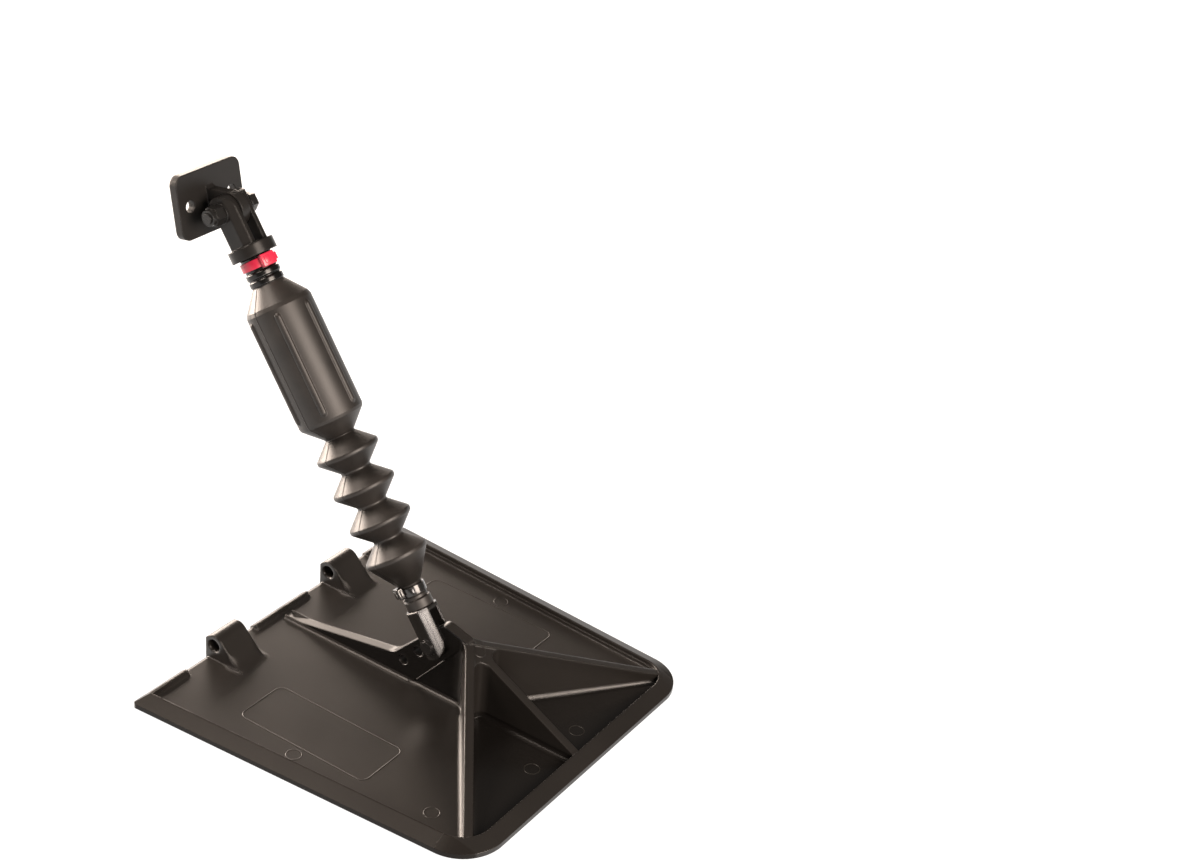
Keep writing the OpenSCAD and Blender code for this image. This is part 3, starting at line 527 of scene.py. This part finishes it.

# Pleats: the last valley ends where the barrel starts (on the real boot they shorten with the gas
# spring)
PLEATS, FIRST, PITCH = 4, 58.3, 22.6
CREST_R, VALLEY_R = 19.4, 9.3
CREST_HALF, VALLEY_HALF = 1.1, 0.7
line = [(NECK_R, NECK_TOP)]
for k in range(PLEATS):
    at = FIRST + k * PITCH
    low = at + PITCH / 2
    after = VALLEY_HALF if k < PLEATS - 1 else -JOIN
    line += [(CREST_R, at - CREST_HALF), (CREST_R, at + CREST_HALF)]
    line += [(VALLEY_R, low - VALLEY_HALF), (VALLEY_R, low + after)]
pleat_out = soften(line, 2.0)
pleat_in = [(max(BORE, r - WALL), w) for r, w in line]
pleats = lathe("boot_pleats", pleat_out, pleat_in, PLEAT_SIDES, parting)
dress(pleats, RUBBER, "rod", "boot_bellows")
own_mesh(pleats)

# Barrel: a lower cone, a straight part with beads, an upper cone and a neck with two rings
BARREL_R, LOW, HIGH = 20.2, 148.3, 221.7
CONE_TOP_R, RING_R, TIE_R = 9.6, 10.4, 9.5
CONE_TOP = 235.0
RING_A, RING_B = (235.4, 238.4), (240.1, 243.0)
BARREL_END = 252.38
BARREL_BORE = 8.26
barrel_line = [
    (VALLEY_R, SPLIT), (BARREL_R - 0.6, LOW - 0.6), (BARREL_R, LOW + 1.2),
    (BARREL_R, 153.0), (BARREL_R, 184.0), (BARREL_R, 215.0),
    (BARREL_R, HIGH - 1.5), (BARREL_R - 1.0, HIGH + 1.0), (CONE_TOP_R, CONE_TOP),
    (RING_R, RING_A[0]), (RING_R, RING_A[1]), (CONE_TOP_R, RING_A[1] + 0.6),
    (CONE_TOP_R, RING_B[0] - 0.6), (RING_R, RING_B[0]), (RING_R, RING_B[1]),
    (TIE_R, RING_B[1] + 0.5), (TIE_R, BARREL_END),
]
BEADS, BEAD_TURN = 6, 39
BEAD_LOW, BEAD_HIGH = 154.5, 215.5
BEAD_HALF, BEAD_RISE = 2.0, 1.3
PARTED_LOW, PARTED_HIGH = 140, 234


# Height of the six beads and of the mould's line on the barrel
def bead(a, w, r):
    if not PARTED_LOW < w < PARTED_HIGH:
        return 0.0
    nearest = math.pi
    for k in range(BEADS):
        away = (a - math.radians(BEAD_TURN + 360 / BEADS * k) + math.pi) % (2 * math.pi) - math.pi
        nearest = min(nearest, abs(away))
    q = math.hypot(nearest * BARREL_R, max(0.0, BEAD_LOW - w, w - BEAD_HIGH))
    return max(parting(a, w, r), BEAD_RISE * math.sqrt(max(0.0, 1 - (q / BEAD_HALF) ** 2)))


barrel_out = refine(soften(barrel_line, 1.2, 5), 0.8)
barrel_in = [(VALLEY_R - WALL, SPLIT), (BARREL_R - WALL, LOW + 1), (BARREL_R - WALL, HIGH - 1),
             (BARREL_BORE, CONE_TOP), (BARREL_BORE, BARREL_END)]
barrel = lathe("boot_body", barrel_out, barrel_in, BARREL_SIDES, bead)
dress(barrel, RUBBER, "cylinder", "boot_barrel")

# Cable ties: band, head, pawl and the stub of the tail
BAND = 1.2
BAND_ROUND = 0.3
BAND_LIP = 0.05


def tie(name, mat, body, node, r, w, width, turn, head, lift=0.0):
    low, high = w - width / 2, w + width / 2
    rings = [(r, low), (r + BAND, low), (r + BAND, high), (r, high)]
    inside = [(r, low + BAND_LIP), (r, high - BAND_LIP)]
    band = lathe(name + "_band", soften(rings, BAND_ROUND, 3), inside, PLAIN_SIDES)
    spin = Matrix.Rotation(math.radians(turn), 4, "Z") @ Matrix.Translation((0, 0, lift))
    deep, wide, tall = head
    # Size, rounding and place of each block, in proportion to the head and the band
    blocks = (
        ("_head", (deep, wide, tall), 0.55, (r + 0.15 + deep / 2, 0, w)),
        ("_pawl", (deep * 0.35, wide * 0.42, width * 0.75), 0.25, (r + deep + 0.05, -wide * 0.1, w)),
        ("_tail", (1.1, wide * 1.25, width * 0.8), 0.2, (r + 1.9, wide * 0.1, w)),
    )
    for ending, size, bevel, at in blocks:
        where = ACT @ TO_METRES @ spin @ Matrix.Translation(at)
        dress(placed(name + ending, rounded_box(size, bevel), where), mat, body)
    dress(band, mat, body, node)


tie("upper_tie", RED, "cylinder", "upper_boot_tie", 9.5, 248.0, 5.4, 257, (3.8, 9.2, 7.6))
tie("lower_tie", TIE_BLACK, "rod", "lower_boot_tie", 6.95, 34.9, 5.6, 155, (3.6, 7.6, 6.8), 1.3)

# Moulded marks on the plate: a bare panel outline on each side, and round ejector marks
ON_FLOOR = Matrix.Translation((0, 0, FLOOR_Z * MM))
PANEL_WIDE, PANEL_BACK, PANEL_FRONT, PANEL_CORNER = 36.5, -143.0, -48.5, 5.0
PANEL_RIDGE, PANEL_RISE = 0.9, 0.24
for side, x0 in (("near", -94.0), ("far", 57.5)):
    outline = round_rect(x0, PANEL_BACK, x0 + PANEL_WIDE, PANEL_FRONT, PANEL_CORNER)
    panel = ridge_line("panel_" + side, outline, PANEL_RIDGE, PANEL_RISE, ON_FLOOR)
    dress(panel, MARK, "tab")
EJECTORS = ((-101, -97), (101, -97), (-90, -189), (90, -189), (-23, -210), (23, -210))
EJECTOR_R, EJECTOR_RIDGE, EJECTOR_RISE = 4.6, 0.8, 0.20
for k, (x, y) in enumerate(EJECTORS):
    at = ON_FLOOR @ Matrix.Translation((x * MM, y * MM, 0))
    mark = ridge_line("ejector_mark_%d" % k, circle(EJECTOR_R), EJECTOR_RIDGE, EJECTOR_RISE, at)
    dress(mark, MARK, "tab")

# Round mark on the middle rib, just behind the point where the ribs meet
RIB_TOP, RIB_END, RIB_RUN = 50.0, 7.75, 81.2
BEHIND_ROOT = 7.0
RIB_FALL = math.atan2(RIB_TOP - RIB_END, RIB_RUN)
mark_z = RIB_TOP - BEHIND_ROOT * math.tan(RIB_FALL) + BASE_Z
on_rib = Matrix.Translation((0, (RIB_ROOT - BEHIND_ROOT) * MM, mark_z * MM))
on_rib = on_rib @ Matrix.Rotation(RIB_FALL, 4, "X")
APEX_R, APEX_RIDGE, APEX_RISE = 4.3, 0.7, 0.22
dress(ridge_line("apex_mark", circle(APEX_R), APEX_RIDGE, APEX_RISE, on_rib), MARK, "tab")

# Rounded edge at the back of the spine's thicker part, on both sides
PAD_FOOT, PAD_SIDE, PAD_LEAN = -104.0, 3.25, math.radians(50)
PAD_EDGE, PAD_ROUND = 0.9, 0.4
PAD_START, PAD_END = 8.0, 40.0
middle = (PAD_START + PAD_END) / 2
for side, sign in (("near", -1), ("far", 1)):
    back = PAD_FOOT - middle * math.cos(PAD_LEAN)
    rise = BASE_Z + middle * math.sin(PAD_LEAN)
    at = Matrix.Translation((sign * PAD_SIDE, back, rise)) @ Matrix.Rotation(-PAD_LEAN, 4, "X")
    edge = rounded_box((PAD_EDGE, PAD_END - PAD_START, PAD_EDGE), PAD_ROUND)
    dress(placed("pad_edge_" + side, edge, TO_METRES @ at), MARK, "tab")

# Floor: a wide grey sheet that glows, so that it looks white
SHEET = 30.0
SHEET_Z = BASE_Z * MM - 0.0003
floor_mat = finish("studio_floor", (0.17, 0.17, 0.17), (0.19, 0.19, 0.19), (0.55, 0.65),
                   grain=60, grain_depth=0.0, broad=2.0, spec=0.2)
corners = [(x * SHEET, y * SHEET, SHEET_Z) for x, y in ((-1, -1), (1, -1), (1, 1), (-1, 1))]
floor = mesh_object("studio_floor", corners, [(0, 1, 2, 3)], False)
floor.data.materials.append(floor_mat)
glow = floor_mat.node_tree.nodes["Principled BSDF"]
glow.inputs["Emission Color"].default_value = (1.0, 1.0, 1.0, 1)
glow.inputs["Emission Strength"].default_value = 0.95
floor.visible_diffuse = False

# World: a weak warm light from all sides
world = bpy.data.worlds.new("studio")
bpy.context.scene.world = world
world.use_nodes = True
sky = world.node_tree.nodes["Background"]
sky.inputs["Color"].default_value = (1.0, 0.93, 0.87, 1)
sky.inputs["Strength"].default_value = 0.14


# Lights: places, targets and sizes in metres
def softbox(name, place, target, size, watts, colour):
    data = bpy.data.lights.new(name, "AREA")
    data.shape = "RECTANGLE"
    data.size, data.size_y = size
    data.energy = watts
    data.color = colour
    obj = link(bpy.data.objects.new(name, data))
    obj.location = place
    aim = Vector(target) - Vector(place)
    obj.rotation_euler = aim.to_track_quat("-Z", "Y").to_euler()


MID = (0.0, -0.08, 0.08)
BOOT = (0.0, 0.0, 0.15)
WARM = (1.0, 0.85, 0.74)
softbox("backdrop", (0.45, 1.60, 0.42), MID, (3.0, 0.85), 95, WARM)
softbox("behind_boot", (-0.15, 1.45, 0.35), BOOT, (0.9, 0.8), 45, (1.0, 0.84, 0.72))
softbox("left_high", (-0.64, 0.63, 1.36), MID, (0.5, 0.5), 17, WARM)
softbox("front_fill", (-0.30, -1.70, 0.95), MID, (1.1, 0.9), 58, WARM)
softbox("camera_low", (-1.15, -1.20, 0.50), MID, (0.2, 0.2), 5.0, (1.0, 0.88, 0.80))

# Camera, as solved from the photo: its place in metres, and its heading, pitch and roll
CAMERA_AT = (-0.79195, -0.69216, 0.73946)
HEADING, PITCH_UP, ROLL = (math.radians(v) for v in (30.8697, -29.8396, 5.8778))
camera_data = bpy.data.cameras.new("camera")
camera_data.lens = 60.0
camera_data.sensor_width = 36.0
camera_data.sensor_fit = "HORIZONTAL"
camera_data.clip_end = 50.0
camera = link(bpy.data.objects.new("camera", camera_data))
heading = Matrix.Rotation(HEADING - math.pi / 2, 4, "Z")
pitch = Matrix.Rotation(PITCH_UP + math.pi / 2, 4, "X")
camera.matrix_world = Matrix.Translation(CAMERA_AT) @ heading @ pitch @ Matrix.Rotation(ROLL, 4, "Z")
bpy.context.scene.camera = camera
bpy.context.scene.view_settings.view_transform = "Standard"
